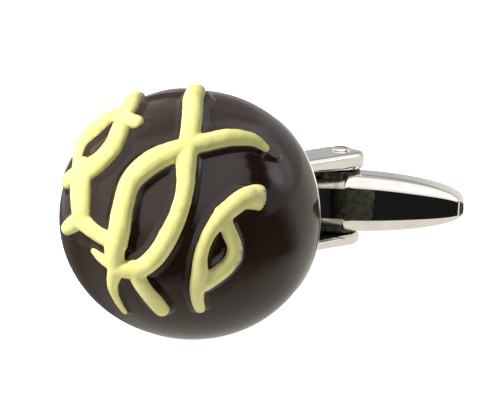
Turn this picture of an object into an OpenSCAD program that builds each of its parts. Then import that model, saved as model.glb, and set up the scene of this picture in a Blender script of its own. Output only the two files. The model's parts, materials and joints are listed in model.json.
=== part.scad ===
// One cufflink: a round truffle face with raised icing strokes, and a fitting with a bullet toggle.
// It is drawn along its own axis first: +Y runs back from the face, +Z runs along the pivot pin.
// Then it is laid down as it rests by itself: on the face's side, one arm's end and the toggle's tip.

/* [Face] */
// Radius of the face at its widest circle
dome_r = 8.8; // [7:0.1:11]
// Depth from the widest circle forward to the nose
nose_depth = 10.3; // [7:0.1:12]
// Depth from the widest circle back to the back plane
tail_depth = 5.4; // [3:0.1:7]
// Half axis of the curve behind the widest circle
tail_reach = 9; // [8:0.1:12]
// Wall of the hollow casting
shell_wall = 1.2; // [0.8:0.1:2]

/* [Icing] */
// Height of an icing stroke above the face
icing_h = 0.75; // [0.3:0.05:1.2]
// Gap under the icing
icing_gap = 0.05; // [0.03:0.01:0.1]
// Drawn sections between two rows of a stroke's table
icing_steps = 2; // [1:1:4]

/* [Fitting] */
// Radius of the plate that closes the back of the face
plate_r = 5.9; // [5:0.1:6.2]
// Thickness of the back plate
plate_t = 1.2; // [0.8:0.1:1.5]
// Distance from the back plane to the pivot
pivot_y = 8.4; // [7:0.1:11]
// Distance between the arms
arm_gap = 5; // [4.6:0.1:6]
// Thickness of an arm
arm_t = 0.9; // [0.7:0.05:1.3]
// Width of an arm
arm_w = 3.4; // [2.6:0.1:4.5]
// Diameter of the pivot pin
pin_d = 0.9; // [0.7:0.05:1.2]
// Diameter of the pin's riveted heads
head_d = 1.5; // [1.2:0.1:2]
// Height of a riveted head
head_h = 0.3; // [0.2:0.05:0.5]

/* [Toggle] */
// Distance from the pivot to the toggle's tip
bullet_l = 9.3; // [7:0.1:12]
// Where the full height of the bullet starts, measured from the pivot
bullet_start = 0.55; // [0.5:0.05:1.5]
// Height of the bullet
bullet_h = 4.2; // [3.4:0.1:4.4]
// Thickness of the bullet between its two flats
bullet_t = 3.7; // [2.4:0.1:4]
// Height of the tongue behind the bullet
tongue_h = 3.3; // [2.6:0.1:3.6]
// Distance from the pivot to the tongue's end
tongue_l = 5.2; // [4:0.1:6.8]
// Diameter of the hub round the pin, between the arms
hub_d = 3; // [2:0.1:3.2]
// How far the toggle is turned from the line of the arms
toggle_turn = 43; // [0:1:90]

/* [Rest] */
// How far the fitting's end tips down when the cufflink lies on its side
rest_tilt = 21.4; // [0:0.1:40]
// How far the cufflink is rolled towards its toggle
rest_roll = 4; // [0:0.1:40]

/* [Hidden] */
$fn = 64;

fit_gap = 0.03;
pin_fit = 0.04;
hub_fit = 0.05;
arm_out = arm_gap / 2 + arm_t;
recess_fit = 0.05;
base_t = 0.9;
middle_x = 0.2;
middle_y = -0.31;
dome_steps = 30;
nose_steps = 16;
over = 0.1;

// Columns of the stroke tables: degrees across and up from the nose, and the width in mm
ACROSS = 0;
UP = 1;
WIDTH = 2;

// The strokes that join each other in one web
WEB = [
    // left chain: top tip, spur, the two sides of its eye, and its way down
    [[-31, 69, 1.4], [-24, 64, 1.5], [-16, 60, 1.4], [-10, 55, 1.5]],
    [[-10, 53, 1.4], [0, 52, 1.3], [5, 53, 1.2]],
    [[-11, 55, 1.3], [-18, 50, 1.6], [-24.5, 43, 1.8], [-28.5, 36, 1.3], [-21, 29.5, 1.2], [-12, 26, 1.5]],
    [[-8, 53, 1.4], [-2, 45, 1.5], [1.5, 37, 1.6], [-1, 29, 1.7], [-7, 23, 1.8]],
    [[-12, 26, 1.6], [-8, 20, 1.8], [-4, 11, 1.8], [-1, 4, 1.5]],
    [[-7, 23, 1.7], [-13, 20, 1.5], [-19, 16.5, 1.4], [-23, 14.5, 1.2]],
    [[-1, 4, 1.4], [-6, 0, 1.3], [-13, -4, 1.2]],
    [[-1, 3, 1.5], [8, -1, 1.2], [15, -3, 1.2], [20, -4, 1.5]],
    // middle stroke that curls round from the crossing to a point
    [[37, 46, 1.5], [29, 39, 1.75], [23, 31, 1.8], [20, 23, 1.65], [20, 13, 1.6], [20, 2, 1.7],
        [18, -8, 1.6], [17, -17, 1.4], [13, -27, 1.0], [11, -42, 0.5]],
    [[17, -14, 1.2], [12, -13, 0.9], [6, -10, 0.5]],
    // long stroke from the top edge through the crossing, its bridge and its leg
    [[4, 84, 1.4], [10, 79, 1.5], [23, 67, 1.5], [33, 53, 1.5], [38.5, 40, 1.5], [43.5, 26, 1.3],
        [44, 13, 1.3], [41, 1, 1.4], [36.5, -8, 1.4], [30, -14.5, 1.4], [25, -16, 1.3], [18, -16, 1.4]],
    [[26, -15, 1.3], [28, -24, 1.25], [31, -33, 1.3], [32, -38, 1.25]],
    // branch to the right, with its thin end
    [[36, 46, 1.5], [43, 52, 1.5], [50, 58, 1.4], [58, 61, 1.3], [63, 60, 1.2], [67, 58.5, 1.0]]
];

// The strokes of the loop on the right
LOOP = [
    [[77, 26, 1.9], [74, 26, 1.9], [68, 23, 1.5], [62, 14, 1.4], [58, 4, 1.2], [55.5, -7, 1.2], [53, -19, 1.3],
        [50, -30, 1.05], [48.5, -40, 0.85]],
    [[61, 13, 1.2], [64.5, 4, 1.15], [66.5, -6, 1.25], [64, -14, 1.3], [59, -19, 1.3], [54, -24, 1.2]]
];

// Half outline of a ridge: share of the half width, share of the height
RIDGE = [[-1, 0], [-0.92, 0.5], [-0.6, 0.87], [0, 1], [0.6, 0.87], [0.92, 0.5], [1, 0]];

// A point of the face's side outline at an angle from the nose, as [radius, distance in front of the back plane]
function outline(angle, lift) =
    [(dome_r + lift) * sin(angle), tail_depth + ((angle <= 90 ? nose_depth : tail_reach) + lift) * cos(angle)];

// The angle at which the outline meets a plane in front of the back plane
function end_angle(lift, level = 0) = acos((level - tail_depth) / (tail_reach + lift));

function outline_points(lift, level) =
    [for (i = [0:dome_steps]) outline(end_angle(lift, level) * i / dome_steps, lift)];

// Unit normal and point of the face above a place on its map of degrees
function skin_normal(across, up) =
    let (angle = norm([across, up]), turn = atan2(up, across))
    [sin(angle) * cos(turn), -cos(angle), sin(angle) * sin(turn)];
function skin(across, up, lift) =
    let (angle = norm([across, up]), turn = atan2(up, across), p = outline(angle, lift))
    [p[0] * cos(turn), -p[1], p[0] * sin(turn)];

// A smooth curve through the rows of a table
function row(t, i) = t[max(0, min(len(t) - 1, i))];
function between(a, b, c, d, k) =
    0.5 * (2 * b + (c - a) * k + (2 * a - 5 * b + 4 * c - d) * k * k + (3 * b - a - 3 * c + d) * k * k * k);
function smooth(t) = concat(
    [for (i = [0:len(t) - 2], j = [0:icing_steps - 1])
        between(row(t, i - 1), row(t, i), row(t, i + 1), row(t, i + 2), j / icing_steps)],
    [t[len(t) - 1]]);

// The points of one cross-section of a stroke
function unit(v) = v / norm(v);
function place(r) = skin(r[ACROSS], r[UP], icing_gap);
function section(rows, i) =
    let (
        last = len(rows) - 1,
        here = place(rows[i]),
        along = unit(place(rows[min(last, i + 1)]) - place(rows[max(0, i - 1)])),
        out = skin_normal(rows[i][ACROSS], rows[i][UP]),
        side = unit(cross(along, out)),
        up = unit(cross(side, along)),
        w = rows[i][WIDTH] / 2,
        h = icing_h * min(1, 0.45 + 0.4 * rows[i][WIDTH])
    )
    [for (q = RIDGE) here + side * w * q[0] + up * h * q[1]];

module stroke(table) {
    rows = smooth(table);
    n = len(RIDGE);
    for (i = [0:len(rows) - 2])
        hull() polyhedron(
            points = concat(section(rows, i), section(rows, i + 1)),
            faces = concat([[for (k = [0:n - 1]) k]], [[for (k = [0:n - 1]) 2 * n - 1 - k]],
                [for (k = [0:n - 1]) [k, n + k, n + (k + 1) % n, (k + 1) % n]])
        );
}

// Turns what is drawn about the vertical so that its axis runs to the front
module facing_front() {
    rotate([90, 0, 0]) children();
}

// How far the face's side reaches below the axis once it is tilted
function side_depth() =
    max([for (p = outline_points(0, 0)) p[0] * cos(rest_tilt) - p[1] * sin(rest_tilt)]);

// Lays the finished cufflink down on the floor, its outline centred over the origin
module laid_down() {
    translate([-middle_x, -middle_y, side_depth()])
        rotate([-rest_tilt, 0, 0]) rotate([0, rest_roll, 0]) children();
}

module dome() {
    color("#3b302f") laid_down() facing_front() difference() {
        rotate_extrude() polygon(concat(outline_points(0, 0), [[0, 0]]));
        rotate_extrude() polygon(concat(outline_points(-shell_wall, -over), [[0, -over]]));
        translate([0, 0, -over]) cylinder(r = plate_r + recess_fit, h = plate_t + fit_gap + over);
    }
}

module icing(strokes) {
    color("#f0ea9e") laid_down() for (s = strokes) stroke(s);
}

module arm_blank() {
    translate([-arm_w / 2, 0, -arm_out]) cube([arm_w, pivot_y, 2 * arm_out]);
    translate([0, pivot_y, -arm_out]) cylinder(d = arm_w, h = 2 * arm_out);
}

module stirrup() {
    color("silver") laid_down() difference() {
        union() {
            translate([0, -plate_t, 0]) rotate([-90, 0, 0]) cylinder(r = plate_r, h = plate_t);
            difference() {
                arm_blank();
                translate([-arm_w, base_t, -arm_gap / 2]) cube([2 * arm_w, 2 * pivot_y, arm_gap]);
            }
        }
        translate([0, pivot_y, -arm_out - over]) cylinder(d = pin_d + 2 * fit_gap, h = 2 * (arm_out + over));
    }
}

// A rivet's head, a slice of a ball that stands on the arm
module rivet_head() {
    ball_r = (pow(head_d / 2, 2) + head_h * head_h) / (2 * head_h);
    intersection() {
        translate([0, 0, head_h - ball_r]) sphere(r = ball_r);
        cylinder(d = head_d + 1, h = head_h + 1);
    }
}

module pivot_pin() {
    color("silver") laid_down() translate([0, pivot_y, 0]) {
        cylinder(d = pin_d, h = 2 * (arm_out + fit_gap), center = true);
        translate([0, 0, arm_out + fit_gap]) rivet_head();
        mirror([0, 0, 1]) translate([0, 0, arm_out + fit_gap]) rivet_head();
    }
}

// A block with its four long edges rounded, along +Y
module rounded_bar(t, h, r, length) {
    rotate([-90, 0, 0]) linear_extrude(length) {
        square([t, h - 2 * r], center = true);
        square([t - 2 * r, h], center = true);
        for (x = [-1, 1], y = [-1, 1]) translate([x * (t / 2 - r), y * (h / 2 - r)]) circle(r);
    }
}

// Half height of the bullet at a share of its length
function bullet_half(share) = bullet_h / 2 * sqrt(1 - share * share);

module bullet() {
    slice = 0.01;
    tip_share = 0.975;
    length = bullet_l - bullet_start;
    hull() for (i = [0:nose_steps]) {
        share = tip_share * sin(90 * i / nose_steps);
        half = bullet_half(share);
        edge_r = min(1, half * 0.5);
        thin = max(0, share - 0.9) * 8;
        translate([0, bullet_start + length * share, 0])
            rounded_bar(bullet_t - thin, 2 * half, edge_r, slice, $fn = 24);
    }
}

module toggle() {
    tongue_step = 0.05;
    tongue_t = bullet_t - 2 * tongue_step;
    color("silver") laid_down() translate([0, pivot_y, 0]) rotate([0, 0, -toggle_turn]) difference() {
        union() {
            bullet();
            intersection() {
                translate([0, -tongue_l, 0]) rounded_bar(tongue_t, tongue_h, 0.45, tongue_l + bullet_start + 1);
                union() {
                    translate([0, -tongue_l + tongue_t / 2, 0]) cylinder(d = tongue_t, h = bullet_h, center = true);
                    translate([-tongue_t, -tongue_l + tongue_t / 2, -bullet_h / 2])
                        cube([2 * tongue_t, 2 * tongue_l, bullet_h]);
                }
            }
            cylinder(d = hub_d, h = arm_gap - 2 * hub_fit, center = true);
        }
        cylinder(d = pin_d + 2 * pin_fit, h = 2 * arm_gap, center = true);
    }
}

dome();
icing(WEB);  // icing_web
icing(LOOP);  // icing_loop
stirrup();
pivot_pin();
toggle();
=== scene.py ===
"""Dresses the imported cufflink: a glossy truffle face, its raised icing and the polished swivel fitting.

The pieces are shaped in the maker's own frame, in millimetres: X to the side that faces the camera,
Y from the face to the toggle, Z along the pivot pin, and the middle of the back plane as its origin.
"""

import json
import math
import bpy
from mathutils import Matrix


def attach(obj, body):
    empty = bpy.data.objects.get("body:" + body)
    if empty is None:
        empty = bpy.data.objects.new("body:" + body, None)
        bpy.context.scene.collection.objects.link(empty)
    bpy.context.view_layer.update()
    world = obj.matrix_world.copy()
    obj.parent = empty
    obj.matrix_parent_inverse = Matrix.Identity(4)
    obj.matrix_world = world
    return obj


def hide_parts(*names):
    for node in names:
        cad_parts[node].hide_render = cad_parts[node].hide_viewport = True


bl_info = {
    "name": "Truffle Cufflink",
    "version": (1, 0, 0),
    "blender": (4, 5, 0),
    "location": "View3D > Sidebar > Cufflink",
    "description": "Models the enamelled face, the icing and the swivel fitting of a cufflink",
    "category": "Add Mesh",
}

import bmesh
import bpy
from mathutils import Matrix, Vector, kdtree, noise

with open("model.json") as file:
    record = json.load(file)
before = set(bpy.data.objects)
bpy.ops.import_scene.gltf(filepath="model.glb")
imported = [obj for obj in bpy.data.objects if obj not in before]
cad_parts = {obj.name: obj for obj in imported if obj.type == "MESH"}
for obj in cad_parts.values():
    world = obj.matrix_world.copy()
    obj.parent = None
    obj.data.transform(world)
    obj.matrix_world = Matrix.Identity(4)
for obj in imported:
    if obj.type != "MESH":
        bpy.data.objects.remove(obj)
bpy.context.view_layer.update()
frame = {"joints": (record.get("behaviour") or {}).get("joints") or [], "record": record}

MM = 0.001
PHOTO_WIDTH = 500
CREASE = math.radians(38)

# The maker's frame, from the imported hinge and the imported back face
HINGE = frame["joints"][0]
CUFF_FACE = next(m for m in frame["record"]["mounts"] if m["name"] == "cuff_face")
PIN_AXIS = Vector(HINGE["axis"]).normalized()
REAR = Vector(CUFF_FACE["axis"]).normalized()
SIDE = REAR.cross(PIN_AXIS).normalized()
PIVOT = Vector(HINGE["pos_m"])
PIVOT_Y = (PIVOT - Vector(CUFF_FACE["pos_m"])).dot(REAR) / MM
BACK_MIDDLE = PIVOT - REAR * PIVOT_Y * MM
TURNED = Matrix((SIDE, REAR, PIN_AXIS)).transposed().to_4x4()
PLACE = Matrix.Translation(BACK_MIDDLE) @ TURNED @ Matrix.Scale(MM, 4)

# Columns of the stroke tables: degrees across and up from the face's nose, and the width in mm
ACROSS, UP, WIDTH = 0, 1, 2

# The strokes that join each other in one web
WEB = [
    # left chain: top tip, spur, the two sides of its eye, and its way down
    [(-32.5, 66.5, 1.5), (-25, 63.5, 1.5), (-16, 60, 1.5), (-10, 55, 1.5)],
    [(-10, 53, 1.4), (-3, 51, 1.5), (3, 52, 1.2)],
    [(-12, 56, 1.3), (-18.5, 51.5, 1.5), (-22, 43, 1.9), (-25, 34.5, 1.5), (-19, 26.5, 1.0), (-11, 24, 1.4)],
    [(-8, 53, 1.4), (-1.5, 45, 1.6), (2, 37, 1.7), (-0.5, 29, 1.7), (-7, 23, 1.8)],
    [(-12, 25, 1.6), (-7.5, 20, 1.9), (-3, 11, 1.9), (-0.5, 4, 1.6)],
    [(-7, 23, 1.7), (-13, 21, 1.4), (-18.5, 18, 1.3), (-22.5, 16.5, 1.1)],
    [(-1, 4, 1.4), (-6, 0.5, 1.3), (-12.5, -3, 1.1)],
    [(-1, 3, 1.5), (8, -1, 1.2), (15, -3, 1.2), (20, -4, 1.5)],
    # middle stroke that curls round from the crossing to a point
    [(37, 46, 1.5), (29, 39, 1.75), (23, 31, 1.8), (20, 23, 1.65), (20, 13, 1.6), (20, 2, 1.7),
     (18, -8, 1.6), (17, -17, 1.3), (12.5, -27, 0.85), (11, -42, 0.5)],
    [(17, -14, 1.2), (12, -13, 0.9), (6, -10, 0.5)],
    # long stroke from the top edge through the crossing, its bridge and its leg
    [(4, 84, 1.4), (10, 79, 1.5), (23, 67, 1.5), (33, 53, 1.5), (38.5, 40, 1.5), (43.5, 26, 1.3),
     (44, 13, 1.3), (41, 1, 1.4), (36.5, -8, 1.4), (30, -14.5, 1.4), (25, -16, 1.3), (18, -16, 1.4)],
    [(26, -15, 1.3), (28, -24, 1.25), (31, -33, 1.3), (32, -38, 1.25)],
    # branch to the right, with its thin end
    [(36, 46, 1.5), (43, 52, 1.45), (50, 58, 1.4), (58, 61.2, 1.2), (63, 60.7, 1.0), (67, 59.3, 0.75)],
]

# The strokes of the loop on the right
LOOP = [
    [(77, 26, 1.9), (74, 26, 1.9), (68, 23, 1.5), (62, 14, 1.35), (57.5, 4, 1.05), (54.5, -7, 1.0), (53, -19, 1.25),
     (50, -30, 1.05), (48.5, -40, 0.85)],
    [(61, 15, 1.1), (65, 6, 1.1), (68, -4, 1.1), (66, -12.5, 1.2), (60, -19, 1.3), (54, -24, 1.25)],
    [(68, 3, 0.5), (70, -4, 0.6), (69, -12, 0.6), (65, -17, 0.5)],
]

# Unpainted ridge ends that show brown beside the icing
BARE_RIDGES = [
    [(69, 59.6, 1.0), (73, 60, 1.0)],
    [(-30, 70, 1.9), (-23, 74, 2.1), (-13, 79, 1.6), (0, 83, 1.4), (6, 84, 1.3)],
    [(12, 80, 1.6), (18, 78, 0.8)],
    [(-35, 40, 1.2), (-36, 29, 1.5), (-34, 21, 1.3)],
]

# Worn spots on the icing: degrees across and up, and the radius in mm
RADIUS = 2
WORN = [(77, 29, 0.28), (78, 25, 0.26), (77.5, 21, 0.22), (71.8, -1, 0.36), (71.3, -7, 0.35), (69, -13.5, 0.33),
        (48, -42, 0.22), (33, -41, 0.18), (-31, 70, 0.2)]

# The relief under a stroke, in mm: the half width from which it is full, the share of its height that the
# thinnest stroke keeps, and how far from a stroke's line its slope can lie
FULL_HALF_WIDTH = 0.8
THIN_SHARE = 0.4
STROKE_REACH = 1.8

# The band of the face that gets a finer mesh, in mm: inside a stroke's edge and beyond its slope
FINE_INSIDE = 0.35
FINE_BEYOND = 0.2

# Middle of the painted reflection on the toggle's flat, in metres
REFLECTION_MIDDLE = Vector((0.0022, 0.0081, 0.0041))

# Patches of the light tent: azimuth, elevation and half angle in degrees, and the brightness
TENT = [
    (-135, 38, 32, 0.52),
    (-160, 24, 13, 0.42),
    (-145, 14, 13, 0.3),
    (155, 15, 20, 1.05),
    (147, 9, 7, 1.7),
    (160, 37, 8, 0.05),
    (150, 30, 8, 0.05),
    (140, 23, 8, 0.05),
    (131, 15, 8, 0.05),
    (45, -1, 16, 0.01),
    (64, -6, 14, 0.06),
    (83, -4, 16, 0.06),
    (103, -1, 18, 0.08),
]

# The patch of the tent that lights matt surfaces
MATT_PATCH = (155, 22, 42, 0.33)

# Sectors of the floor that the cufflink mirrors, painted shadows and painted light that only mirrors show: azimuth and
# half angle in degrees, the distances in mm at which a sector starts and is complete, and its brightness
FLOOR_SECTORS = [
    (160, 34, 5, 9, 0.8),
    (-80, 34, 5, 12, 0.17),
    (62, 34, 8, 11, 0.3),
    (106, 25, 10, 14, 0.08),
    (45, 40, 16, 22, 0.02),
]
FLOOR_MIDDLE = (0.002, -0.005, 0)
FLOOR_MIRRORED = 0.62
FLOOR_RADIUS = 0.07
FLOOR_DROP = 0.00002

# The key light: metres from the aim towards the camera, to the right and up, and the lamp's width
KEY_PLACE = (0.152, -0.28, 0.24)
KEY_WIDTH = 0.12


def length(name, description, millimetres):
    """A size that the user can change, given in mm and kept in metres."""
    return bpy.props.FloatProperty(name=name, description=description, default=millimetres * MM, unit="LENGTH",
                                   precision=5)


def colour(name, description, rgb):
    """A colour that the user can change."""
    return bpy.props.FloatVectorProperty(name=name, description=description, default=rgb, subtype="COLOR",
                                         size=3, min=0, max=1)


class CufflinkFaceSizes(bpy.types.PropertyGroup):
    """The truffle face."""
    radius: length("Radius", "Radius of the face at its widest circle", 8.8)
    nose_depth: length("Nose depth", "From the widest circle forward to the nose", 10.3)
    tail_depth: length("Tail depth", "From the widest circle back to the back plane", 5.4)
    tail_reach: length("Tail reach", "Half axis of the curve behind the widest circle", 9.0)
    lip: length("Lip", "Width of the bare metal lip at the back", 0.1)
    flank: length("Flank", "Width of the brown slope beside a stroke 1.6 mm wide", 0.45)
    relief: length("Relief", "Height at which the icing starts on a stroke 1.6 mm wide", 0.26)
    unevenness: length("Unevenness", "Height of the enamel's slow waves", 0.035)


class CufflinkIcingSizes(bpy.types.PropertyGroup):
    """The raised strokes."""
    crown: bpy.props.FloatProperty(name="Crown", description="Height of the icing over half its width", default=0.8)
    painted: bpy.props.FloatProperty(name="Painted share", description="Share of a ridge's width that is painted",
                                     default=0.96, subtype="FACTOR")
    grain: length("Grain", "Cell size of the mesh that joins the strokes", 0.085)
    ripple: length("Ripple", "Height of the hand-made unevenness", 0.03)


class CufflinkFittingSizes(bpy.types.PropertyGroup):
    """The stirrup, its pin and the bullet toggle."""
    plate_radius: length("Plate radius", "Radius of the plate that closes the face", 5.9)
    plate_depth: length("Plate depth", "Thickness of the back plate", 1.2)
    arm_gap: length("Arm gap", "Distance between the arms", 5.0)
    arm_depth: length("Arm thickness", "Thickness of an arm", 0.9)
    arm_width: length("Arm width", "Width of an arm", 3.4)
    arm_round: length("Arm rounding", "Radius of an arm's long edges", 0.4)
    lean: length("Lean", "How far the soldered stirrup stands to one side at the pin", 0.25)
    heavy: length("Heavy arm", "Extra thickness inside the upper arm", 0.4)
    pin_radius: length("Pin radius", "Radius of the pivot pin", 0.45)
    head_radius: length("Head radius", "Radius of the pin's riveted heads", 0.75)
    head_height: length("Head height", "Height of a riveted head", 0.3)
    bullet_length: length("Bullet length", "From the pivot to the toggle's tip", 9.3)
    bullet_height: length("Bullet height", "Height of the bullet", 4.2)
    bullet_depth: length("Bullet thickness", "Thickness between the two flats", 3.7)
    tip_lean: length("Tip lean", "How far the tip stands to the side of the heavy arm", 0.17)
    tongue_height: length("Tongue height", "Height of the tongue behind the bullet", 3.7)
    tongue_length: length("Tongue length", "From the pivot to the tongue's end", 5.2)
    hub_radius: length("Hub radius", "Radius of the toggle's hub round the pin", 1.5)
    swing: bpy.props.FloatProperty(name="Swing", description="Turn of the toggle from the line of the arms",
                                   default=math.radians(43), subtype="ANGLE")


class CufflinkLooks(bpy.types.PropertyGroup):
    """Colours of the finishes."""
    enamel: colour("Enamel", "Brown enamel of the face", (0.0135, 0.0055, 0.0028))
    enamel_pale: colour("Enamel, thin", "Brown enamel where it is thin", (0.0215, 0.0095, 0.0048))
    icing: colour("Icing", "Pale yellow enamel of the strokes", (0.86, 0.81, 0.31))
    icing_deep: colour("Icing, thick", "Yellow enamel where it has pooled", (0.77, 0.73, 0.225))
    worn: colour("Worn spots", "Grey metal that shows through the icing", (0.42, 0.42, 0.36))
    # Rare pale specks on the brown enamel
    dust: colour("Dust", "Rare specks on the brown enamel", (0.6, 0.58, 0.55))
    metal: colour("Metal", "Polished plating", (0.90, 0.87, 0.84))
    # The next two dark plating colours are painted shade between the arms; the second gives random lighter blotches in
    # it
    metal_dull: colour("Metal, unpolished", "Plating between the arms, where it is darkest", (0.05, 0.048, 0.038))
    residue: colour("Residue", "Plating between the arms, where dry residue lightens it", (0.11, 0.105, 0.08))
    metal_warm: colour("Metal, tarnished", "Plating with a warm film", (0.78, 0.75, 0.67))
    # The next two colours paint a reflection on the toggle's mirror flat, as a dull brownish patch
    paste: colour("Paste", "Thin dried smear on the toggle's flat", (0.03, 0.027, 0.015))
    paste_pale: colour("Paste, thick", "Thick dried smear on the toggle's flat", (0.095, 0.092, 0.055))
    # Greenish tint of the tongue's top near the pivot
    metal_film: colour("Metal, filmed", "Plating with a greenish film, between the arms", (0.40, 0.38, 0.27))


class CufflinkStage(bpy.types.PropertyGroup):
    """Camera, floor and lights."""
    azimuth: bpy.props.FloatProperty(name="Azimuth", description="Camera's turn round the cufflink",
                                     default=math.radians(51.7), subtype="ANGLE")
    elevation: bpy.props.FloatProperty(name="Elevation", description="Camera's height above the horizon",
                                       default=math.radians(21.55), subtype="ANGLE")
    roll: bpy.props.FloatProperty(name="Roll", description="Camera's lean, clockwise",
                                  default=math.radians(16.0), subtype="ANGLE")
    distance: length("Distance", "Camera's distance from the cufflink", 350)
    pixels_per_mm: bpy.props.FloatProperty(name="Scale", description="Pixels of the picture for one millimetre",
                                           default=14.0)
    back_right: bpy.props.FloatProperty(name="Right", description="Pixels from the picture's middle to the back plane",
                                        default=2.5)
    back_down: bpy.props.FloatProperty(name="Down", description="Pixels from the picture's middle to the back plane",
                                       default=8.5)
    sky: bpy.props.FloatProperty(name="Sky", description="Brightness of the light tent overhead", default=1.15)
    horizon: bpy.props.FloatProperty(name="Horizon", description="Brightness of the light tent low down", default=0.5)
    fill: bpy.props.FloatProperty(name="Fill", description="Light from above that falls on matt surfaces", default=0.2)
    key: bpy.props.FloatProperty(name="Key light", description="Power of the main light", default=2.8, unit="POWER")


# ---- the face's surface, in millimetres


def skin(across, up, lift=0.0):
    """A point above the face and the way out of it, for a place on the map of degrees."""
    sizes = bpy.context.scene.cufflink_face
    angle = math.radians(math.hypot(across, up))
    turn = math.atan2(up, across)
    depth = sizes.nose_depth if angle <= math.pi / 2 else sizes.tail_reach
    ring = (sizes.radius / MM + lift) * math.sin(angle)
    front = (sizes.tail_depth + depth * math.cos(angle)) / MM + lift * math.cos(angle)
    point = Vector((ring * math.cos(turn), -front, ring * math.sin(turn)))
    out = Vector((math.sin(angle) * math.cos(turn), -math.cos(angle), math.sin(angle) * math.sin(turn)))
    return point, out


def smooth_rows(rows, steps):
    """A Catmull-Rom curve through the rows of a table."""
    last = len(rows) - 1
    found = []
    for i in range(last):
        a, b, c, d = (Vector(rows[min(max(k, 0), last)]) for k in (i - 1, i, i + 1, i + 2))
        for j in range(steps):
            t = j / steps
            found.append(0.5 * (2 * b + (c - a) * t + (2 * a - 5 * b + 4 * c - d) * t * t
                                + (3 * b - a - 3 * c + d) * t ** 3))
    found.append(Vector(rows[last]))
    return found


def stroke_points(rows, steps=6):
    """Points and half widths along a stroke on the face."""
    return [(skin(r[ACROSS], r[UP])[0], r[WIDTH] / 2) for r in smooth_rows(rows, steps)]


def stroke_lines():
    """All strokes as closely set points with their half widths, ready for questions about near points."""
    strokes = WEB + [LOOP[0][2:]] + LOOP[1:] + BARE_RIDGES
    points = [pair for rows in strokes for pair in stroke_points(rows, 12)]
    tree = kdtree.KDTree(len(points))
    for index, (point, _) in enumerate(points):
        tree.insert(point, index)
    tree.balance()
    return tree, [half for _, half in points]


def relief_at(lines, point):
    """Height in mm of the brown relief under the strokes, and whether a stroke's slope is near."""
    sizes = bpy.context.scene.cufflink_face
    tree, halves = lines
    highest, near = 0.0, False
    for _, index, far in tree.find_range(point, STROKE_REACH):
        share = THIN_SHARE + (1 - THIN_SHARE) * min(1.0, halves[index] / FULL_HALF_WIDTH)
        flank = sizes.flank / MM * share
        edge = far - halves[index]
        near = near or -FINE_INSIDE < edge < flank + FINE_BEYOND
        highest = max(highest, sizes.relief / MM * share * min(1.0, max(0.0, 1 - edge / flank)))
    return highest, near


def over_face(point):
    """The place on the face under a point, the way out there, and the height of the point above it."""
    sizes = bpy.context.scene.cufflink_face
    middle = Vector((0, -sizes.tail_depth / MM, 0))
    arm = point - middle
    depth = (sizes.nose_depth if arm.y < 0 else sizes.tail_reach) / MM
    ring = sizes.radius / MM
    stretch = math.sqrt((arm.x ** 2 + arm.z ** 2) / ring ** 2 + arm.y ** 2 / depth ** 2)
    foot = arm / stretch
    out = Vector((foot.x / ring ** 2, foot.y / depth ** 2, foot.z / ring ** 2)).normalized()
    return middle + foot, out, (arm - foot).dot(out)


# ---- mesh helpers


def new_piece(name, bm, *materials):
    """A finished piece at the origin, from a mesh drawn in the maker's frame."""
    bmesh.ops.recalc_face_normals(bm, faces=bm.faces)
    bmesh.ops.transform(bm, matrix=PLACE, verts=bm.verts)
    for face in bm.faces:
        face.smooth = True
    for edge in bm.edges:
        edge.smooth = edge.calc_face_angle(0) < CREASE
    mesh = bpy.data.meshes.new(name)
    bm.to_mesh(mesh)
    bm.free()
    for material in materials:
        mesh.materials.append(material)
    piece = bpy.data.objects.new(name, mesh)
    bpy.context.scene.collection.objects.link(piece)
    return piece


# The finishes of a metal piece, by their place in metal_piece's list: bright plating, dark plating that is painted
# shade, a greenish plating, and the toggle's flat with a painted reflection
BRIGHT, PAINTED_SHADE, GREENISH, PAINTED_REFLECTION = range(4)


def metal_piece(name, bm, looks, flats, finish):
    """A plated piece, whose faces across the ways in flats shade flat.

    finish(normal, centre) says which finish a face has.
    """
    bmesh.ops.recalc_face_normals(bm, faces=bm.faces)
    found = {face: finish(face.normal, face.calc_center_median()) for face in bm.faces}
    used = sorted(set(found.values()))
    for face, index in found.items():
        face.material_index = used.index(index)
    makers = (bright_plating, painted_shade_plating, greenish_plating, painted_reflection_plating)
    piece = new_piece(name, bm, *(material(makers[index], looks) for index in used))
    ways = [TURNED.to_3x3() @ way for way in flats]
    for face in piece.data.polygons:
        face.use_smooth = all(abs(face.normal.dot(way)) < 0.9999 for way in ways)
    eased = piece.modifiers.new("Eased", "WEIGHTED_NORMAL")
    eased.keep_sharp = True
    piece.data = settled_mesh(piece)
    piece.modifiers.clear()
    return piece


def spun(bm, outline, steps):
    """Turns an outline of (radius, y) points round the Y axis."""
    verts = [bm.verts.new((r, y, 0)) for r, y in outline]
    edges = [bm.edges.new(pair) for pair in zip(verts, verts[1:])]
    bmesh.ops.spin(bm, geom=verts + edges, cent=(0, 0, 0), axis=(0, 1, 0), angle=math.tau, steps=steps,
                   use_merge=True)
    bmesh.ops.remove_doubles(bm, verts=bm.verts, dist=0.0005)


def rounded_ring(bm, place, half_width, half_depth, corner, segments):
    """A rounded rectangle: a circle whose quarters are moved apart."""
    half_step = Matrix.Rotation(math.pi / segments, 4, "Z")
    ring = bmesh.ops.create_circle(bm, segments=segments, radius=corner, matrix=half_step)["verts"]
    for v in ring:
        v.co.x += math.copysign(half_width - corner, v.co.x)
        v.co.y += math.copysign(half_depth - corner, v.co.y)
    bmesh.ops.transform(bm, matrix=place, verts=ring)
    return ring


def soft_ring(bm, place, half_width, half_depth, corner, segments):
    """A rounded ring whose corner never fills its whole side."""
    corner = min(corner, half_width * 0.98, half_depth * 0.98)
    return rounded_ring(bm, place, half_width, half_depth, corner, segments)


def ring_edges(ring):
    """The edges round a ring."""
    held = set(ring)
    return list({e for v in ring for e in v.link_edges if e.verts[0] in held and e.verts[1] in held})


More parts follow.
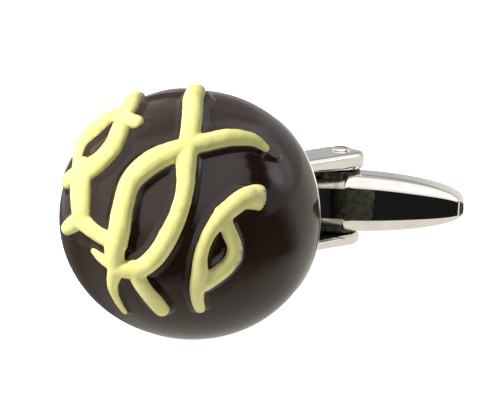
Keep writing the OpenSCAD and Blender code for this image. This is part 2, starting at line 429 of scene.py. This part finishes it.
def loft(bm, rings):
    """Bridges rounded rings into one closed skin."""
    loops = [ring_edges(ring) for ring in rings]
    for a, b in zip(loops, loops[1:]):
        bmesh.ops.bridge_loops(bm, edges=a + b)
    bmesh.ops.contextual_create(bm, geom=loops[0])
    bmesh.ops.contextual_create(bm, geom=loops[-1])


# ---- materials


class Nodes:
    """Adds and joins the nodes of one material."""

    def __init__(self, name):
        self.material = bpy.data.materials.new(name)
        self.material.use_nodes = True
        self.tree = self.material.node_tree
        self.shader = self.tree.nodes["Principled BSDF"]
        self.place = self.add("ShaderNodeTexCoord").outputs["Object"]

    def add(self, kind, inputs=None, **settings):
        node = self.tree.nodes.new(kind)
        for key, value in settings.items():
            setattr(node, key, value)
        for key, value in (inputs or {}).items():
            self.feed(node.inputs[key], value)
        return node

    def feed(self, socket, value):
        if isinstance(value, bpy.types.NodeSocket):
            self.tree.links.new(value, socket)
        elif socket.type == "RGBA":
            socket.default_value = (*value, 1)
        else:
            socket.default_value = value

    def set(self, **inputs):
        for key, value in inputs.items():
            self.feed(self.shader.inputs[key.replace("_", " ").title().replace("Ior", "IOR")], value)

    def noise(self, per_mm, detail=3.0, roughness=0.5, vector=None):
        return self.add("ShaderNodeTexNoise", {"Vector": vector or self.place, "Scale": per_mm / MM,
                                               "Detail": detail, "Roughness": roughness}).outputs["Fac"]

    def ramp(self, value, low, high, to_low=0.0, to_high=1.0):
        return self.add("ShaderNodeMapRange", {"Value": value, "From Min": low, "From Max": high,
                                               "To Min": to_low, "To Max": to_high}).outputs["Result"]

    def mix(self, share, a, b):
        node = self.add("ShaderNodeMix", data_type="RGBA")
        self.feed(node.inputs["Factor"], share)
        self.feed(node.inputs[6], a)
        self.feed(node.inputs[7], b)
        return node.outputs[2]

    def maths(self, operation, *values):
        node = self.add("ShaderNodeMath", operation=operation)
        for i, value in enumerate(values):
            self.feed(node.inputs[i], value)
        return node.outputs["Value"]

    def bump(self, height, distance):
        self.feed(self.shader.inputs["Normal"], self.add("ShaderNodeBump", {
            "Height": height, "Distance": distance * MM, "Strength": 1.0}).outputs["Normal"])


def glossy_brown(looks):
    """Dark glossy enamel with slow changes of thickness and rare pale specks."""
    n = Nodes("glossy_brown")
    thin = n.ramp(n.noise(0.35, 2), 0.35, 0.7)
    cells = n.add("ShaderNodeTexVoronoi", {"Vector": n.place, "Scale": 0.42 / MM})
    rare = n.maths("GREATER_THAN", n.add("ShaderNodeSeparateColor", {"Color": cells.outputs["Color"]})
                   .outputs["Red"], 0.8)
    speck = n.maths("MULTIPLY", n.maths("LESS_THAN", cells.outputs["Distance"], 0.022), rare)
    body = n.mix(thin, looks.enamel, looks.enamel_pale)
    n.set(base_color=n.mix(n.maths("MULTIPLY", speck, 0.7), body, looks.dust),
          roughness=n.ramp(n.noise(1.2, 4), 0.3, 0.7, 0.07, 0.13), specular_ior_level=0.5)
    n.bump(n.noise(1.6, 3), 0.004)
    return n.material


def satin_yellow(looks):
    """Satin enamel, deeper where it has pooled, worn to grey metal at its proud ends."""
    n = Nodes("satin_yellow")
    pooled = n.ramp(n.noise(0.8, 3), 0.35, 0.75)
    body = n.mix(pooled, looks.icing, looks.icing_deep)
    ragged = n.ramp(n.noise(4.5, 3), 0.3, 0.7, -0.16 * MM, 0.16 * MM)
    worn = 0.0
    for row in WORN:
        spot = PLACE @ skin(row[ACROSS], row[UP], 0.6)[0]
        far = n.add("ShaderNodeVectorMath", {0: n.place, 1: spot}, operation="DISTANCE").outputs["Value"]
        inside = n.maths("LESS_THAN", n.maths("ADD", far, ragged), row[RADIUS] * MM)
        worn = n.maths("MAXIMUM", worn, inside)
    n.set(base_color=n.mix(worn, body, looks.worn),
          roughness=n.ramp(n.noise(2.5, 4), 0.3, 0.7, 0.28, 0.4), specular_ior_level=0.6)
    n.bump(n.noise(3.0, 4), 0.012)
    return n.material


def bright_plating(looks):
    """Mirror plating with a warm film in places and fine polishing lines."""
    n = Nodes("bright_plating")
    film = n.ramp(n.noise(0.5, 3), 0.42, 0.75, 0.0, 0.6)
    lines = n.noise(1.0, 3, vector=n.add("ShaderNodeMapping", {
        "Vector": n.place, "Scale": (2.0, 14.0, 14.0)}).outputs["Vector"])
    n.set(base_color=n.mix(film, looks.metal, looks.metal_warm), metallic=1.0,
          roughness=n.ramp(lines, 0.3, 0.7, 0.03, 0.09))
    n.bump(lines, 0.0012)
    return n.material


def painted_shade_plating(looks):
    """Dark plating that is painted shade between the arms, round the hub and on the toggle's ends, in random lighter
    blotches.
    """
    n = Nodes("painted_shade_plating")
    blotch = n.ramp(n.noise(2.2, 4), 0.35, 0.7)
    n.set(base_color=n.mix(blotch, looks.metal_dull, looks.residue), metallic=1.0,
          roughness=n.ramp(n.noise(5.0, 3), 0.3, 0.7, 0.3, 0.45))
    n.bump(n.noise(6.0, 3), 0.004)
    return n.material


def painted_reflection_plating(looks):
    """The toggle's mirror flat, with a painted reflection across it beside the arms: a dull brownish patch, rougher
    and less metallic.
    """
    n = Nodes("painted_reflection_plating")
    swing = bpy.context.scene.cufflink_fitting.swing
    along = TURNED.to_3x3() @ Vector((math.sin(swing), math.cos(swing), 0))
    arm = n.add("ShaderNodeVectorMath", {0: n.place, 1: REFLECTION_MIDDLE}, operation="SUBTRACT").outputs["Vector"]
    reach = n.add("ShaderNodeVectorMath", {0: arm, 1: along}, operation="DOT_PRODUCT").outputs["Value"]
    ragged = n.maths("ADD", reach, n.ramp(n.noise(2.0, 4), 0.3, 0.7, -0.15 * MM, 0.15 * MM))
    reflection_mask = n.maths("MULTIPLY", n.ramp(ragged, -2.2 * MM, -0.6 * MM), n.ramp(ragged, 1.2 * MM, 1.0 * MM))
    paste = n.mix(n.ramp(n.noise(2.4, 4), 0.38, 0.68), looks.paste, looks.paste_pale)
    n.set(base_color=n.mix(n.ramp(reflection_mask, 0.0, 0.12), looks.metal, paste),
          metallic=n.ramp(reflection_mask, 0.1, 1.0, 1.0, 0.1), roughness=n.ramp(reflection_mask, 0.0, 1.0, 0.06, 0.4))
    n.bump(n.noise(5.0, 3), 0.002)
    return n.material


def greenish_plating(looks):
    """Satin plating tinted greenish, where the tongue runs between the arms."""
    n = Nodes("greenish_plating")
    n.set(base_color=n.mix(n.ramp(n.noise(1.5, 3), 0.35, 0.7), looks.metal_film, looks.metal_warm), metallic=1.0,
          roughness=n.ramp(n.noise(4.0, 3), 0.3, 0.7, 0.25, 0.4))
    n.bump(n.noise(6.0, 3), 0.004)
    return n.material


def pale_floor():
    """Paper that is overexposed in the picture, and that the cufflink mirrors as it lies in the light tent, with
    painted shadows and painted light in sectors that only mirrors show.
    """
    n = Nodes("pale_floor")
    rays = n.add("ShaderNodeLightPath").outputs
    arm = n.add("ShaderNodeVectorMath", {0: n.place, 1: FLOOR_MIDDLE}, operation="SUBTRACT").outputs["Vector"]
    far = n.add("ShaderNodeVectorMath", {0: arm}, operation="LENGTH").outputs["Value"]
    way = n.add("ShaderNodeVectorMath", {0: arm}, operation="NORMALIZE").outputs["Vector"]
    mirrored = FLOOR_MIRRORED
    for azimuth, spread, start, full, light in FLOOR_SECTORS:
        a, reach = math.radians(azimuth), math.radians(spread)
        dot = n.add("ShaderNodeVectorMath", {0: way, 1: (math.sin(a), -math.cos(a), 0)},
                    operation="DOT_PRODUCT").outputs["Value"]
        inside = n.maths("MULTIPLY", n.ramp(dot, math.cos(reach * 1.4), math.cos(reach * 0.6)),
                         n.ramp(far, start * MM, full * MM))
        lit = n.maths("MULTIPLY", inside, light)
        mirrored = n.maths("ADD", lit, n.maths("MULTIPLY", mirrored, n.maths("SUBTRACT", 1.0, inside)))
    shown = n.maths("ADD", rays["Is Camera Ray"], n.maths("MULTIPLY", rays["Is Glossy Ray"], mirrored))
    n.set(base_color=n.mix(rays["Is Glossy Ray"], (0.6, 0.6, 0.6), (0, 0, 0)), roughness=0.9, specular_ior_level=0.0,
          emission_color=n.mix(rays["Is Glossy Ray"], (1, 1, 1), (1, 0.96, 0.86)), emission_strength=shown)
    return n.material


def material(make, *args):
    """One copy of each material."""
    name = make.__name__
    return bpy.data.materials.get(name) or make(*args)


# ---- the pieces


class CUFFLINK_OT_face(bpy.types.Operator):
    """Model the enamelled truffle face with the brown flanks of its relief and its bare metal lip"""
    bl_idname = "cufflink.face"
    bl_label = "Face"

    rings: bpy.props.IntProperty(name="Rings", description="Rings from the nose to the back", default=94)
    steps: bpy.props.IntProperty(name="Steps", description="Steps round the face", default=256)
    fine: bpy.props.IntProperty(name="Fine cuts", description="Cuts of each edge beside the strokes", default=2)

    def execute(self, context):
        sizes = context.scene.cufflink_face
        fitting = context.scene.cufflink_fitting
        looks = context.scene.cufflink_looks
        lip = sizes.lip / MM
        end = math.degrees(math.acos(-(sizes.tail_depth / MM - lip) / (sizes.tail_reach / MM)))
        outline = [(p.x, p.y) for p in (skin(end * i / self.rings, 0)[0] for i in range(self.rings + 1))]
        rim = outline[-1][0]
        round_plate, under_plate = 0.05, 0.03
        recess = fitting.plate_radius / MM + round_plate
        floor = -fitting.plate_depth / MM - under_plate
        outline += [(rim + 0.02, -lip + 0.02), (rim + 0.02, -0.03), (rim - 0.02, 0), (recess, 0),
                    (recess, floor), (0, floor)]
        bm = bmesh.new()
        spun(bm, outline, self.steps)

        def coated(co):
            """Whether a point is on the enamel, clear of the lip and of the recess."""
            return co.y < -lip - 0.3 and (co.y < floor - 0.2 or co.xz.length > recess + 0.3)

        lines = stroke_lines()
        beside = {v for v in bm.verts if coated(v.co) and relief_at(lines, v.co)[1]}
        close = [e for e in bm.edges if e.verts[0] in beside and e.verts[1] in beside]
        bmesh.ops.subdivide_edges(bm, edges=close, cuts=self.fine, use_grid_fill=True)
        wave, waves_per_mm, calm_back = sizes.unevenness / MM, 0.28, 5
        for v in bm.verts:
            if coated(v.co):
                foot, out, _ = over_face(v.co)
                slow = noise.noise(foot * waves_per_mm) * wave * min(1.0, -foot.y / calm_back)
                v.co = foot + out * (relief_at(lines, foot)[0] + slow)

        for face in bm.faces:
            face.material_index = 1 if face.calc_center_median().y > -lip - 0.01 else 0
        piece = new_piece("face_enamel", bm, material(glossy_brown, looks), material(bright_plating, looks))
        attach(piece, "face")
        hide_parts("dome")
        return {"FINISHED"}


def ridge_piece(name, strokes, surface, ripple):
    """Crowned strokes that lie on the relief and are grown together into one skin."""
    sizes = bpy.context.scene.cufflink_icing
    curve = bpy.data.curves.new(name + "_line", "CURVE")
    curve.dimensions = "3D"
    curve.bevel_depth = 1.0
    curve.bevel_resolution = 6
    curve.use_fill_caps = True
    for rows in strokes:
        points = stroke_points(rows)
        first, last = points[0], points[-1]
        if rows is not LOOP[0]:
            points = round_end(first, points[1])[::-1] + points
        points = points + round_end(last, points[-2])
        spline = curve.splines.new("POLY")
        spline.points.add(len(points) - 1)
        for target, (point, half) in zip(spline.points, points):
            target.co = (*point, 1)
            target.radius = half * sizes.painted
    line = bpy.data.objects.new(name + "_line", curve)
    bpy.context.scene.collection.objects.link(line)
    mesh = settled_mesh(line)
    bpy.data.objects.remove(line)
    lines = stroke_lines()
    for v in mesh.vertices:
        foot, out, height = over_face(v.co)
        v.co = foot + out * (relief_at(lines, foot)[0] + sizes.crown * height)
    tube = bpy.data.objects.new(name + "_tube", mesh)
    bpy.context.scene.collection.objects.link(tube)
    grown = tube.modifiers.new("Grow", "REMESH")
    grown.mode = "VOXEL"
    grown.voxel_size = sizes.grain / MM
    eased = tube.modifiers.new("Ease", "SMOOTH")
    eased.factor = 0.5
    eased.iterations = 5
    mesh = settled_mesh(tube)
    bpy.data.objects.remove(tube)
    bm = bmesh.new()
    bm.from_mesh(mesh)
    bm.normal_update()
    slow, quick = 1.1, 2.7
    for v in bm.verts:
        v.co += v.normal * ripple / MM * (noise.noise(v.co * slow) + 0.5 * noise.noise(v.co * quick))
    return new_piece(name, bm, surface)


def settled_mesh(piece):
    """The mesh that a curve or a stack of modifiers ends as."""
    graph = bpy.context.evaluated_depsgraph_get()
    return bpy.data.meshes.new_from_object(piece.evaluated_get(graph))


def round_end(end, before):
    """Points beyond the end of a stroke that close it with a round tip."""
    point, half = end
    onward = (point - before[0]).normalized()
    blunt = 0.9
    return [(point + onward * half * blunt * math.sin(t), half * math.cos(t))
            for t in (math.radians(a) for a in (25, 45, 62, 76, 86))]


class CUFFLINK_OT_icing(bpy.types.Operator):
    """Model the raised icing strokes"""
    bl_idname = "cufflink.icing"
    bl_label = "Icing"

    def execute(self, context):
        sizes = context.scene.cufflink_icing
        looks = context.scene.cufflink_looks
        paint = material(satin_yellow, looks)
        for name, strokes in (("icing_web", WEB), ("icing_loop", LOOP)):
            piece = ridge_piece(name + "_enamel", strokes, paint, sizes.ripple)
            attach(piece, "face")
            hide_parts(name)
        return {"FINISHED"}


def strap_stations(sizes):
    """The strap from an arm's end to the base: rows of z, y, turn in degrees, half width and half thickness."""
    half_gap, depth, half_w = sizes.arm_gap / MM / 2, sizes.arm_depth / MM, sizes.arm_width / MM / 2
    outer = half_gap + depth
    low = depth / 2
    bend = 0.8
    thin_root, taper = 0.25, 4
    edge_share = 0.45

    def arm_station(y, width, share):
        inner = half_gap + thin_root * min(1.0, max(0.0, (PIVOT_Y - y) / taper))
        return (outer + inner) / 2, y, 90, width, (outer - inner) * share / 2

    # the round end, the straight arm and the bend
    stations = []
    for i in range(10):
        t = math.radians(86 - 86 * i / 9)
        stations.append(arm_station(PIVOT_Y + half_w * math.sin(t), half_w * math.cos(t),
                                    edge_share + (1 - edge_share) * math.sqrt(math.cos(t))))
    for i in range(1, 9):
        stations.append(arm_station(PIVOT_Y + (low + bend - PIVOT_Y) * i / 8, half_w, 1.0))
    middle, root = stations[-1][0], stations[-1][4]
    for i in range(1, 7):
        t = math.radians(90 * i / 6)
        stations.append((middle - bend + bend * math.cos(t), low + bend - bend * math.sin(t), 90 + math.degrees(t),
                         half_w, root + (low - root) * i / 6))
    return stations


class CUFFLINK_OT_stirrup(bpy.types.Operator):
    """Model the back plate and the bent strap with its two arms"""
    bl_idname = "cufflink.stirrup"
    bl_label = "Stirrup"

    def execute(self, context):
        sizes = context.scene.cufflink_fitting
        plate_r, plate_t = sizes.plate_radius / MM, sizes.plate_depth / MM
        half_gap, depth, corner = sizes.arm_gap / MM / 2, sizes.arm_depth / MM, sizes.arm_round / MM
        bm = bmesh.new()
        spun(bm, [(0, -plate_t), (plate_r, -plate_t), (plate_r, -0.15), (plate_r - 0.04, -0.05),
                  (plate_r - 0.15, 0), (0, 0)], 128)

        # the strap: down the upper arm, which is thicker inside, across the base and up the lower arm
        lower = strap_stations(sizes)
        heavy = sizes.heavy / MM / 2
        upper = [(z - heavy, y, turn, w, d + heavy * d / depth * 2) if turn == 90 else (z, y, turn, w, d)
                 for z, y, turn, w, d in lower]
        rings = []
        for z, y, turn, w, d in upper + [(-z, y, -turn, w, d) for z, y, turn, w, d in reversed(lower)]:
            # ring's own X is the strap's width, its own Y the thickness
            place = Matrix.Translation((0, y, z)) @ Matrix.Rotation(math.radians(turn), 4, "X")
            rings.append(soft_ring(bm, place, w, d, corner, 40))
        loft(bm, rings)
        lean = sizes.lean / MM / PIVOT_Y
        for v in bm.verts:
            v.co.z += lean * max(0, v.co.y)

        def finish(n, c):
            inside_arm = abs(c.z) > 1 and n.z * c.z < -0.93 * abs(c.z)
            between_arms = n.y > 0.75 and 0.1 < c.y < 2 and abs(c.z) < half_gap
            # The arms' inner faces and the base between them get painted shade
            return PAINTED_SHADE if inside_arm or between_arms else BRIGHT

        piece = metal_piece("stirrup_polished", bm, context.scene.cufflink_looks,
                            [Vector((0, -lean, 1)).normalized()], finish)
        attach(piece, "face")
        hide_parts("stirrup")
        return {"FINISHED"}


class CUFFLINK_OT_pivot_pin(bpy.types.Operator):
    """Model the pivot pin with its riveted heads"""
    bl_idname = "cufflink.pivot_pin"
    bl_label = "Pivot pin"

    def execute(self, context):
        sizes = context.scene.cufflink_fitting
        half = (sizes.arm_gap / 2 + sizes.arm_depth) / MM
        pin, head, height = (v / MM for v in (sizes.pin_radius, sizes.head_radius, sizes.head_height))
        dome = [(head * math.cos(t), half + height * math.sin(t))
                for t in (math.radians(90 * i / 8) for i in range(9))]
        side = [(pin, 0.0), (pin, half - 0.02), (head, half - 0.02)] + dome
        bm = bmesh.new()
        spun(bm, [(r, -y) for r, y in reversed(side[1:])] + side, 48)
        lean = sizes.lean / MM
        bmesh.ops.transform(bm, matrix=Matrix.Translation((0, PIVOT_Y, lean)) @ Matrix.Rotation(math.pi / 2, 4, "X"),
                            verts=bm.verts)
        # The pin's middle, between the arms, gets painted shade
        piece = metal_piece("pivot_pin_polished", bm, context.scene.cufflink_looks, [],
                            lambda n, c: PAINTED_SHADE if abs(c.z - lean) < half - 0.1 else BRIGHT)
        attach(piece, "face")
        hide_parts("pivot_pin")
        return {"FINISHED"}


def bullet_stations(sizes):
    """The toggle from its tongue to its tip: rows of place along it, half height, half thickness and corner."""
    tip, half_h = sizes.bullet_length / MM, sizes.bullet_height / MM / 2
    half_t = sizes.bullet_depth / MM / 2
    tongue_h, tongue_end = sizes.tongue_height / MM / 2, sizes.tongue_length / MM
    start = 0.7
    shoulder = half_h - tongue_h + 0.1
    corner = 0.8

    # the tongue's rounded end and its straight part
    stations = []
    for i in range(9):
        t = math.radians(86 * (1 - i / 8))
        stations.append((-tongue_end + half_t * (1 - math.sin(t)), tongue_h - 0.12 * math.sin(t) ** 4,
                         half_t * math.cos(t), corner))
    for y in (-tongue_end * 0.4, start - shoulder - 0.1, start - shoulder):
        stations.append((y, tongue_h, half_t, corner))
    # the shoulder, and the bullet with its flats that narrow to the tip
    for i in range(2, 10):
        t = math.radians(10 * i)
        stations.append((start - shoulder * math.cos(t), half_h - shoulder + shoulder * math.sin(t), half_t,
                         corner + 0.12 * math.sin(t)))
    for i in range(1, 41):
        share = 0.975 * math.sin(math.pi / 2 * i / 40)
        h = half_h * math.sqrt(1 - share * share)
        stations.append((start + (tip - start) * share, h, half_t - max(0, share - 0.93) * 9,
                         min(0.5 * h, 0.98 - 0.85 * share ** 3.5)))
    return stations


class CUFFLINK_OT_toggle(bpy.types.Operator):
    """Model the bullet toggle and its tongue"""
    bl_idname = "cufflink.toggle"
    bl_label = "Toggle"

    def execute(self, context):
        sizes = context.scene.cufflink_fitting
        bm = bmesh.new()
        rings = []
        for y, h, t, corner in bullet_stations(sizes):
            # ring's own X is the thickness, its own Y the height
            place = Matrix.Translation((0, y, 0)) @ Matrix.Rotation(math.pi / 2, 4, "X")
            rings.append(soft_ring(bm, place, t, h, corner, 48))
        loft(bm, rings)
        for v in bm.verts:
            v.co.z += sizes.tip_lean / sizes.bullet_length * v.co.y

        # the hub round the pin, which fills the room between the arms and reaches a little back
        hub, longer, gap = sizes.hub_radius / MM, 0.35, 0.05
        reach, lean = sizes.arm_gap / MM / 2 - gap, sizes.lean / MM
        low, high = lean - reach, lean + reach - sizes.heavy / MM
        rings = []
        for z, inset in ((low, 0.1), (low + 0.03, 0.03), (low + 0.1, 0), (high - 0.1, 0), (high - 0.03, 0.03),
                         (high, 0.1)):
            rings.append(rounded_ring(bm, Matrix.Translation((0, -longer, z)), hub - inset, hub + longer - inset,
                                      hub - inset - 0.01, 48))
        loft(bm, rings)
        bmesh.ops.transform(bm, verts=bm.verts, matrix=Matrix.Translation((0, PIVOT_Y, 0))
                            @ Matrix.Rotation(-sizes.swing, 4, "Z"))
        along = Vector((math.sin(sizes.swing), math.cos(sizes.swing), 0))
        face_way = along.cross(Vector((0, 0, 1)))
        blunt_end = sizes.bullet_length / MM - 0.55

        def finish(n, c):
            arm = c - Vector((0, PIVOT_Y, 0))
            beside = arm - along * max(-2 * longer, min(0, arm.dot(along)))
            # The tongue's end, the tip's blunt end and the hub get painted shade
            at_end = n.dot(along) < -0.85 or arm.dot(along) > blunt_end and abs(n.dot(face_way)) > 0.6
            if at_end or beside.xy.length < hub + 0.01:
                return PAINTED_SHADE
            # The flat on the camera's side carries the painted reflection
            if n.dot(face_way) > 0.999:
                return PAINTED_REFLECTION
            # The tongue's top and rounding near the pivot are greenish satin
            return GREENISH if arm.dot(along) < 0.45 and abs(n.z) > 0.1 else BRIGHT

        piece = metal_piece("toggle_polished", bm, context.scene.cufflink_looks, [face_way], finish)
        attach(piece, "swivel")
        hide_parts("toggle")
        return {"FINISHED"}


# ---- the stage


def patch(tree, way, azimuth, elevation, spread):
    """How far a direction lies inside a round patch of the sky, in degrees."""
    a, e, s = math.radians(azimuth), math.radians(elevation), math.radians(spread)
    dot = tree.nodes.new("ShaderNodeVectorMath")
    dot.operation = "DOT_PRODUCT"
    dot.inputs[1].default_value = (math.sin(a) * math.cos(e), -math.cos(a) * math.cos(e), math.sin(e))
    tree.links.new(way, dot.inputs[0])
    return ramped(tree, dot.outputs["Value"], math.cos(s * 1.25), math.cos(s * 0.75), 0, 1)


def ramped(tree, value, low, high, to_low, to_high):
    """A smooth ramp of a value."""
    node = tree.nodes.new("ShaderNodeMapRange")
    node.interpolation_type = "SMOOTHSTEP"
    for key, number in (("From Min", low), ("From Max", high), ("To Min", to_low), ("To Max", to_high)):
        node.inputs[key].default_value = number
    tree.links.new(value, node.inputs["Value"])
    return node.outputs["Result"]


def blended(tree, share, a, b):
    """A mix of two brightnesses."""
    node = tree.nodes.new("ShaderNodeMix")
    for socket, value in ((node.inputs[0], share), (node.inputs[2], a), (node.inputs[3], b)):
        if isinstance(value, bpy.types.NodeSocket):
            tree.links.new(value, socket)
        else:
            socket.default_value = value
    return node.outputs[0]


def surroundings(sky, horizon, fill):
    """A light tent: bright above, dimmer at the horizon, with the patches of TENT, which only mirrors show."""
    world = bpy.data.worlds.new("surroundings")
    bpy.context.scene.world = world
    world.use_nodes = True
    tree = world.node_tree
    way = tree.nodes.new("ShaderNodeTexCoord").outputs["Generated"]
    height = tree.nodes.new("ShaderNodeSeparateXYZ")
    tree.links.new(way, height.inputs[0])
    horizon_ends, sky_starts = 0.1, 0.5
    tent = ramped(tree, height.outputs["Z"], horizon_ends, sky_starts, horizon, sky)
    for azimuth, elevation, spread, light in TENT:
        tent = blended(tree, patch(tree, way, azimuth, elevation, spread), tent, light)
    rays = tree.nodes.new("ShaderNodeLightPath").outputs
    *matt_place, matt_light = MATT_PATCH
    below, backdrop = 0.03, 1.1
    soft = blended(tree, patch(tree, way, *matt_place),
                   ramped(tree, height.outputs["Z"], -0.2, 0.9, below, fill), matt_light)
    seen = blended(tree, rays["Is Diffuse Ray"], tent, soft)
    seen = blended(tree, rays["Is Camera Ray"], seen, backdrop)
    tree.links.new(seen, tree.nodes["Background"].inputs["Strength"])
    tree.nodes["Background"].inputs["Color"].default_value = (1, 1, 1, 1)


def soft_light(name, power, size, place, aim):
    """A round lamp that looks from a place to the aim."""
    lamp = bpy.data.lights.new(name, "AREA")
    lamp.shape = "DISK"
    lamp.size = size
    lamp.energy = power
    light = bpy.data.objects.new(name, lamp)
    light.location = place
    light.rotation_euler = (aim - place).to_track_quat("-Z", "Y").to_euler()
    bpy.context.scene.collection.objects.link(light)
    return light


class CUFFLINK_OT_stage(bpy.types.Operator):
    """Set up the pale floor, the soft lights and the camera"""
    bl_idname = "cufflink.stage"
    bl_label = "Stage"

    def execute(self, context):
        s = context.scene.cufflink_stage
        bm = bmesh.new()
        bmesh.ops.create_circle(bm, cap_ends=True, segments=96, radius=FLOOR_RADIUS)
        mesh = bpy.data.meshes.new("floor")
        bm.to_mesh(mesh)
        bm.free()
        mesh.materials.append(material(pale_floor))
        floor = bpy.data.objects.new("floor", mesh)
        floor.location.z = -FLOOR_DROP
        context.scene.collection.objects.link(floor)

        # the camera looks at the point that lies in the middle of the picture
        back = Vector((math.sin(s.azimuth) * math.cos(s.elevation), -math.cos(s.azimuth) * math.cos(s.elevation),
                       math.sin(s.elevation)))
        turn = back.to_track_quat("Z", "Y").to_matrix() @ Matrix.Rotation(-s.roll, 3, "Z")
        right, up = turn.col[0], turn.col[1]
        aim = BACK_MIDDLE + (up * s.back_down - right * s.back_right) * MM / s.pixels_per_mm
        lens = bpy.data.cameras.new("camera")
        lens.sensor_width = 36
        lens.lens = s.pixels_per_mm * (s.distance / MM) * lens.sensor_width / PHOTO_WIDTH
        lens.clip_start = 0.01
        camera = bpy.data.objects.new("camera", lens)
        camera.matrix_world = Matrix.Translation(aim + back * s.distance) @ turn.to_4x4()
        context.scene.collection.objects.link(camera)
        context.scene.camera = camera

        surroundings(s.sky, s.horizon, s.fill)
        nearer, aside, above = KEY_PLACE
        key = soft_light("key", s.key, KEY_WIDTH, aim + back * nearer + right * aside + up * above, aim)
        key.visible_glossy = False
        context.scene.view_settings.view_transform = "Standard"
        return {"FINISHED"}


class CUFFLINK_PT_panel(bpy.types.Panel):
    """Lists the pieces of the cufflink"""
    bl_label = "Cufflink"
    bl_space_type = "VIEW_3D"
    bl_region_type = "UI"
    bl_category = "Cufflink"

    def draw(self, context):
        for operator in PIECES:
            self.layout.operator(operator.bl_idname)
        for group in GROUPS:
            for key in group[1].__annotations__:
                self.layout.prop(getattr(context.scene, group[0]), key)


GROUPS = (("cufflink_face", CufflinkFaceSizes), ("cufflink_icing", CufflinkIcingSizes),
          ("cufflink_fitting", CufflinkFittingSizes), ("cufflink_looks", CufflinkLooks),
          ("cufflink_stage", CufflinkStage))
PIECES = (CUFFLINK_OT_face, CUFFLINK_OT_icing, CUFFLINK_OT_stirrup, CUFFLINK_OT_pivot_pin, CUFFLINK_OT_toggle,
          CUFFLINK_OT_stage)


def register():
    for name, group in GROUPS:
        bpy.utils.register_class(group)
        setattr(bpy.types.Scene, name, bpy.props.PointerProperty(type=group))
    for kind in (*PIECES, CUFFLINK_PT_panel):
        bpy.utils.register_class(kind)


def unregister():
    for kind in (CUFFLINK_PT_panel, *reversed(PIECES)):
        bpy.utils.unregister_class(kind)
    for name, group in reversed(GROUPS):
        delattr(bpy.types.Scene, name)
        bpy.utils.unregister_class(group)


def main():
    register()
    for operator in (bpy.ops.cufflink.face, bpy.ops.cufflink.icing, bpy.ops.cufflink.stirrup,
                     bpy.ops.cufflink.pivot_pin, bpy.ops.cufflink.toggle, bpy.ops.cufflink.stage):
        operator()


if __name__ == "__main__":
    main()
